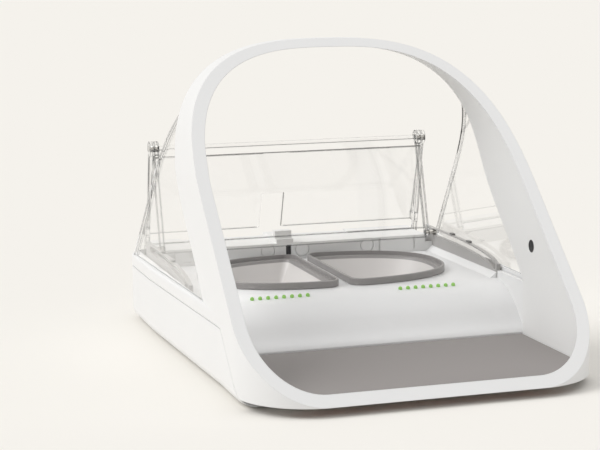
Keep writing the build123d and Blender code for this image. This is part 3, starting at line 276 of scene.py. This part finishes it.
# %% Two-colour bowls
RIM_TALL, RIM_BLEND = 0.0046, 0.0001
RIM_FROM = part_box("bowl_left")[1].z - RIM_TALL
bowl_grey, bowl_tree, bowl_shader, bowl_place = moulded(
    "warm_grey_polypropylene", "#D4D1CF", "#DBD8D6", 0.38, 0.7, 0.02, IOR=1.49)
height = add_node(bowl_tree, "ShaderNodeSeparateXYZ", {"Vector": bowl_place})["Z"]
inputs = {"Value": height, "From Min": RIM_FROM, "From Max": RIM_FROM + RIM_BLEND}
band = add_node(bowl_tree, "ShaderNodeMapRange", inputs)["Result"]
body_colour = bowl_shader.inputs["Base Color"].links[0].from_socket
inputs = {0: band, 6: body_colour, 7: linear("#949190")}
rim_colour = add_node(bowl_tree, "ShaderNodeMix", inputs, data_type="RGBA")
bowl_tree.links.new(rim_colour[2], bowl_shader.inputs["Base Color"])
print("bowl rim band from", round(RIM_FROM * 1000, 1), "mm")

# %% Mat and feet
mat_grey = moulded("pebbled_grey_elastomer", "#8F8A88", "#999492", 0.62, 0.9, 0.08, edge_mm=0.6, IOR=1.5)[0]
foot_rubber = moulded("dark_foot_rubber", "#4A4846", "#5A5856", 0.8, 0.7, 0.08, edge_mm=0.4, IOR=1.52)[0]
print("made", mat_grey.name, "and", foot_rubber.name)

# %% [markdown]
# ## Clear plastic
# The lid and the side windows are clear polycarbonate. A clear plate is seen by its edges:
# light that enters there is trapped and comes out elsewhere, so each edge reads as a dark
# line. That line is painted into the base colour as painted shade, and over the notch in the
# rear leaf most of it is left out, so that edge stays clear.
# Wiping leaves hairline scratches, here as a faint stretched noise in the roughness, drawn
# wider than real ones.

# %% Clear polycarbonate
CLEAR_PLASTIC = "#FFFFFF"
# The share of the painted edge shade kept over the notch.
EDGE_SHADE_KEPT = 0.12
HAIRLINES = (60.0, 1500.0, 1500.0)  # a metre holds 60 along and 1500 across: 17 mm by 0.7 mm


def clear_plate(name, edge_colour, edge_mm, unshaded_x=None):
    """Polycarbonate: full transmission, roughness 0 to 0.05 in hairlines, base colour painted darker along
    edges as painted shade.

    unshaded_x is a lowest and a highest X in metres: between them the painted edge shade drops
    to a small part, where the distance from their middle is under half their gap.
    """
    material, tree, shader, place = finish(name, CLEAR_PLASTIC, IOR=1.585, Transmission_Weight=1.0)
    edge = edge_bend_and_mask(tree, edge_mm)[1]
    if unshaded_x:
        low, high = unshaded_x
        across = add_node(tree, "ShaderNodeSeparateXYZ", {"Vector": place})["X"]
        inputs = {0: across, 1: (low + high) / 2, 2: (high - low) / 2}
        inside = add_node(tree, "ShaderNodeMath", inputs, operation="COMPARE")["Value"]
        inputs = {"Value": inside, "To Min": 1.0, "To Max": EDGE_SHADE_KEPT}
        left = add_node(tree, "ShaderNodeMapRange", inputs)["Result"]
        edge = add_node(tree, "ShaderNodeMath", {0: edge, 1: left}, operation="MULTIPLY")["Value"]
    # The edges are painted dark in the base colour, as painted shade.
    inputs = {0: edge, 6: linear(CLEAR_PLASTIC), 7: linear(edge_colour)}
    tint = add_node(tree, "ShaderNodeMix", inputs, data_type="RGBA")
    tree.links.new(tint[2], shader.inputs["Base Color"])
    drawn = add_node(tree, "ShaderNodeMapping", {"Vector": place, "Scale": HAIRLINES})["Vector"]
    hair = add_node(tree, "ShaderNodeTexNoise", {"Vector": drawn, "Scale": 1.0, "Detail": 2.0})["Fac"]
    wiped = {"Value": hair, "From Min": 0.55, "From Max": 0.8, "To Min": 0.0, "To Max": 0.05}
    tree.links.new(add_node(tree, "ShaderNodeMapRange", wiped)["Result"], shader.inputs["Roughness"])
    return material


# Over the notch the painted edge shade is cut to a small part; the span reaches a little past it on each
# side.
NOTCH_X = (-0.0180, -0.0014)
UNSHADED_PAST = 0.0018
UNSHADED_X = (NOTCH_X[0] - UNSHADED_PAST, NOTCH_X[1] + UNSHADED_PAST)
lid_clear = clear_plate("clear_lid_polycarbonate", "#101315", 1.4)
rear_clear = clear_plate("clear_rear_leaf_polycarbonate", "#101315", 1.4, UNSHADED_X)
window_clear = clear_plate("clear_window_polycarbonate", "#26292B", 1.0)
# The print gives the span where the painted edge shade is cut.
print("rear leaf's edge is polished over", round((UNSHADED_X[1] - UNSHADED_X[0]) * 1000, 1), "mm")

# %% [markdown]
# ## Guide tracks and sensors
# The tracks are grey acetal, a slippery plastic that needs no grease and has a faint sheen.
# The sensors look through lenses of smoked polycarbonate. Those are nearly black and glossy,
# so a deep colour with low roughness is enough, and no light has to pass.

# %% Guide tracks and sensors
rail_grey = moulded("grey_acetal_track", "#A8A6A4", "#B9B7B5", 0.37, 0.6, 0.01, IOR=1.48)[0]
sensor_dark = moulded(
    "smoked_sensor_lens", "#26272A", "#3A3B3E", 0.15, 0.8, 0.005, edge_mm=0.2, IOR=1.585)[0]
print("made", rail_grey.name, "and", sensor_dark.name)

# %% [markdown]
# ## Lights
# Each row of eight small domes is the end of a light pipe, moulded in frosted green acrylic
# and lit from the board below. The glow is kept low, so the domes still take shade and shine.

# %% Green light pipes
green, green_tree, green_shader, green_place = finish(
    "frosted_green_acrylic", "#8DBB62", Roughness=0.3, IOR=1.49, Emission_Strength=0.22)
green_shader.inputs["Emission Color"].default_value = linear("#7FBE55")
speck = add_node(green_tree, "ShaderNodeTexNoise", {"Vector": green_place, "Scale": 3000.0})["Fac"]
frost = add_node(green_tree, "ShaderNodeMapRange", {"Value": speck, "To Min": 0.2, "To Max": 0.4})["Result"]
green_tree.links.new(frost, green_shader.inputs["Roughness"])
print("light pipes glow at", green_shader.inputs["Emission Strength"].default_value)

# %% [markdown]
# ## Metals
# The lid's axle and pins are drawn stainless steel, with a fine lengthwise grain. The screws,
# spring contacts and motor can are bright nickel or zinc plate over pressed steel. The load
# cells are milled aluminium bar, and its cutter marks cross the bar every 0.4 mm.

# %% Drawn, plated and milled metal
def worked_metal(name, colour, low, high, grain_mm):
    """A metal: noise stretched to one size in millimetres along each axis sets its roughness and bump."""
    material, tree, shader, place = finish(name, colour, Metallic=1.0)
    steps = tuple(1000 / size for size in grain_mm)
    along = add_node(tree, "ShaderNodeMapping", {"Vector": place, "Scale": steps})["Vector"]
    lines = add_node(tree, "ShaderNodeTexNoise", {"Vector": along, "Scale": 1.0, "Detail": 4.0})["Fac"]
    span = {"Value": lines, "From Min": 0.3, "From Max": 0.7, "To Min": low, "To Max": high}
    tree.links.new(add_node(tree, "ShaderNodeMapRange", span)["Result"], shader.inputs["Roughness"])
    bump = {"Height": lines, "Distance": 0.00001, "Strength": 0.4, "Normal": edge_bend_and_mask(tree, 0.25)[0]}
    tree.links.new(add_node(tree, "ShaderNodeBump", bump)["Normal"], shader.inputs["Normal"])
    return material


drawn_steel = worked_metal("drawn_stainless_steel", "#C9C7C3", 0.18, 0.34, (12, 0.2, 0.2))
plated_steel = worked_metal("bright_zinc_plate", "#CFD0D0", 0.22, 0.4, (1.5, 1.5, 1.5))
nickel_can = worked_metal("nickel_plated_can", "#BDB9B1", 0.2, 0.32, (8, 0.4, 0.4))
milled_aluminium = worked_metal("milled_aluminium", "#D6D7D9", 0.28, 0.42, (12, 0.4, 12))
print("metals:", drawn_steel.name, plated_steel.name, nickel_can.name, milled_aluminium.name)

# %% [markdown]
# ## Inside parts
# The circuit boards are glass laminate under green solder mask: copper tracks stand a little
# proud of it and show lighter. The reader coil is enamelled copper wire laid side by side, so
# it is a metal with ridges, painted darker in the hollows between turns as painted shade and
# lighter on the crests as painted highlight. Real turns are under a millimetre apart, and the
# ridges are drawn every 5 mm, one for a bundle of turns. The gears and weighing plates are
# natural acetal, a milky off-white. The cells wear a shrunk film sleeve over steel.

# %% Circuit board
MASK_GREEN, TRACK_GREEN = "#1F5B3A", "#2F7A4E"
TRACK_FROM = 0.42
board_green, board_tree, board_shader, board_place = finish(
    "green_solder_mask", MASK_GREEN, Roughness=0.3, IOR=1.55)
TRACKS_PER_METRE = 260.0
inputs = {"Vector": board_place, "Scale": TRACKS_PER_METRE}
cells = add_node(board_tree, "ShaderNodeTexVoronoi", inputs, distance="MANHATTAN")["Distance"]
track = add_node(board_tree, "ShaderNodeMath", {0: cells, 1: TRACK_FROM}, operation="GREATER_THAN")["Value"]
inputs = {0: track, 6: linear(MASK_GREEN), 7: linear(TRACK_GREEN)}
board_colour = add_node(board_tree, "ShaderNodeMix", inputs, data_type="RGBA")
board_tree.links.new(board_colour[2], board_shader.inputs["Base Color"])
inputs = {"Height": track, "Distance": 0.00004, "Strength": 0.6}
proud = add_node(board_tree, "ShaderNodeBump", inputs)["Normal"]
board_tree.links.new(proud, board_shader.inputs["Normal"])
print("board tracks about", round(1000 / TRACKS_PER_METRE, 1), "mm apart")

# %% Enamelled copper coil
copper, copper_tree, copper_shader, copper_place = finish(
    "enamelled_copper_wire", "#B8693C", Metallic=1.0, Roughness=0.3)
RIDGE_SCALE = 62.5  # a wave repeats every 2 pi / (20 * scale) metres, here 5 mm
inputs = {"Vector": copper_place, "Scale": RIDGE_SCALE}
turns = add_node(copper_tree, "ShaderNodeTexWave", inputs, bands_direction="Y")["Fac"]
inputs = {"Height": turns, "Distance": 0.0004, "Strength": 0.8}
ridge = add_node(copper_tree, "ShaderNodeBump", inputs)["Normal"]
copper_tree.links.new(ridge, copper_shader.inputs["Normal"])
# Hollows between turns are painted darker as painted shade, crests lighter as painted highlight.
inputs = {0: turns, 6: linear("#8E4A26"), 7: linear("#C47A48")}
copper_colour = add_node(copper_tree, "ShaderNodeMix", inputs, data_type="RGBA")
copper_tree.links.new(copper_colour[2], copper_shader.inputs["Base Color"])
print("coil ridges every", round(2000 * np.pi / (20 * RIDGE_SCALE), 1), "mm")

# %% Acetal gears and cell sleeves
acetal = moulded("natural_acetal", "#E9E6DE", "#F1EFE8", 0.36, 0.5, 0.01, edge_mm=0.25, IOR=1.48)[0]
sleeve, sleeve_tree, sleeve_shader, sleeve_place = moulded(
    "shrunk_film_sleeve", "#35373C", "#4A4C52", 0.22, 1.2, 0.02, edge_mm=0.5, IOR=1.53)
facing = add_node(sleeve_tree, "ShaderNodeNewGeometry")["Normal"]
along_x = add_node(sleeve_tree, "ShaderNodeSeparateXYZ", {"Vector": facing})["X"]
end_face = add_node(sleeve_tree, "ShaderNodeMath", {0: along_x}, operation="ABSOLUTE")["Value"]
bare = add_node(sleeve_tree, "ShaderNodeMath", {0: end_face, 1: 0.9}, operation="GREATER_THAN")["Value"]
sleeve_tree.links.new(bare, sleeve_shader.inputs["Metallic"])
sleeve_base = sleeve_shader.inputs["Base Color"].links[0].from_socket
inputs = {0: bare, 6: sleeve_base, 7: linear("#C4C2BC")}
sleeve_colour = add_node(sleeve_tree, "ShaderNodeMix", inputs, data_type="RGBA")
sleeve_tree.links.new(sleeve_colour[2], sleeve_shader.inputs["Base Color"])
print("made", acetal.name, "and", sleeve.name)

# %% [markdown]
# ## Small trim
# The tracks carry small moulded clips on their crests and a cover plate low at the front, too
# slight for the solids. Each could be a cube with a bevel, but a superellipsoid is one smooth
# closed surface whose power sets how square it is, so the same few lines make them all.

# %% Clips and track covers
def rounded_block(name, low, high, power, material, body):
    """A superellipsoid in a box: each direction on a sphere is divided by the power norm of its parts."""
    turns, rises = 32, 15
    u = np.arange(turns) * 2 * np.pi / turns
    v = np.linspace(-np.pi / 2, np.pi / 2, rises + 2)[1:-1, None]
    rings = np.stack([np.cos(v) * np.cos(u), np.cos(v) * np.sin(u), np.sin(v) + 0 * u], axis=-1)
    way = np.vstack([rings.reshape(-1, 3), [[0, 0, -1], [0, 0, 1]]])
    way /= (np.abs(way) ** power).sum(axis=1, keepdims=True) ** (1 / power)
    points = (np.array(low) + high) / 2 + way * (np.array(high) - low) / 2
    index = np.arange(turns * rises).reshape(rises, turns)
    onward = np.roll(index, -1, axis=1)
    quads = np.stack([index[:-1], onward[:-1], onward[1:], index[1:]], axis=-1).reshape(-1, 4)
    under = np.stack([onward[0], index[0], np.full(turns, turns * rises)], axis=-1)
    over = np.stack([index[-1], onward[-1], np.full(turns, turns * rises + 1)], axis=-1)
    piece = new_piece(name, points, quads.tolist() + under.tolist() + over.tolist(), material)
    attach(piece, body)


CLIPS = ((0.080, 0.0565), (0.050, 0.0557))
CLIP_HALF = (0.0013, 0.003)
CLIP_SUNK, CLIP_PROUD = 0.0006, 0.0012
COVER_Y, COVER_Z, COVER_PROUD = (0.0075, 0.0265), (0.0455, 0.0490), 0.0008
CLIP_POWER, COVER_POWER = 6, 8
track_clip = moulded(
    "dark_grey_acetal_clip", "#6F6E6D", "#858483", 0.3, 0.6, 0.01, edge_mm=0.3, IOR=1.48)[0]
for side, name in ((1, "right"), (-1, "left")):
    track_low, track_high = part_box(f"guide_rail_{name}")
    middle = (track_low.x + track_high.x) / 2
    for number, (station_y, crest) in enumerate(CLIPS):
        low = (middle - CLIP_HALF[0], station_y - CLIP_HALF[1], crest - CLIP_SUNK)
        high = (middle + CLIP_HALF[0], station_y + CLIP_HALF[1], crest + CLIP_PROUD)
        rounded_block(f"track_clip_{name}_{number}", low, high, CLIP_POWER, track_clip, "base")
    cheek = side * max(abs(track_low.x), abs(track_high.x))
    left, right = sorted((cheek, cheek + side * COVER_PROUD))
    low, high = (left, COVER_Y[0], COVER_Z[0]), (right, COVER_Y[1], COVER_Z[1])
    rounded_block(f"track_cover_{name}", low, high, COVER_POWER, rail_grey, "base")
    print(name, "track has", len(CLIPS), "clips and a cover")

# %% [markdown]
# ## Handing out the finishes
# Every solid gets one finish. A table from finish to names shows at a glance which parts share
# a moulding, and a name that is missing from it stops the script with an error.

# %% Give each part its finish
FINISHES = {
    "upper_casing base_tub": satin_white,
    "rear_deck": deck_white_painted_shade,
    "arch_liner": liner_white,
    "bowl_tray": tray_white,
    "battery_door_left battery_door_right": door_white,
    "button_add_pet button_connect button_open_close button_training": button_white,
    "deck_caps": cap_white,
    "bowl_left bowl_right": bowl_grey,
    "entry_mat": mat_grey,
    "rubber_feet": foot_rubber,
    "side_window_left side_window_right": window_clear,
    "lid_front_leaf": lid_clear,
    "lid_rear_leaf": rear_clear,
    "sensor_window_left sensor_window_right lid_sensor": sensor_dark,
    "guide_rail_left guide_rail_right": rail_grey,
    "led_lenses_left led_lenses_right": green,
    "lid_axle crown_pins guide_pins": drawn_steel,
    "base_screws board_screws cell_screws battery_contacts": plated_steel,
    "motor": nickel_can,
    "load_cell_left load_cell_right": milled_aluminium,
    "main_board button_board led_board_left led_board_right": board_green,
    "reader_coil": copper,
    "gearbox lid_pinion lid_sector weigh_platform_left weigh_platform_right": acetal,
    "battery_cells_left battery_cells_right": sleeve,
}
given = {name: material for names, material in FINISHES.items() for name in names.split()}
for name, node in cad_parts.items():
    node.data.materials.clear()
    node.data.materials.append(given[name])
print(len(given), "solids in", len(FINISHES), "finishes")

# %% [markdown]
# ## Light through the clear plates
# Tracing the bent light paths could mend it, at a price in time and noise. Telling the plates
# to cast no shadow costs nothing.

# %% Clear plates cast no shadow
CLEAR = "side_window_left side_window_right lid_front_leaf lid_rear_leaf".split()
for name in CLEAR:
    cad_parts[name].visible_shadow = False
print(len(CLEAR), "clear plates let the lamps through")
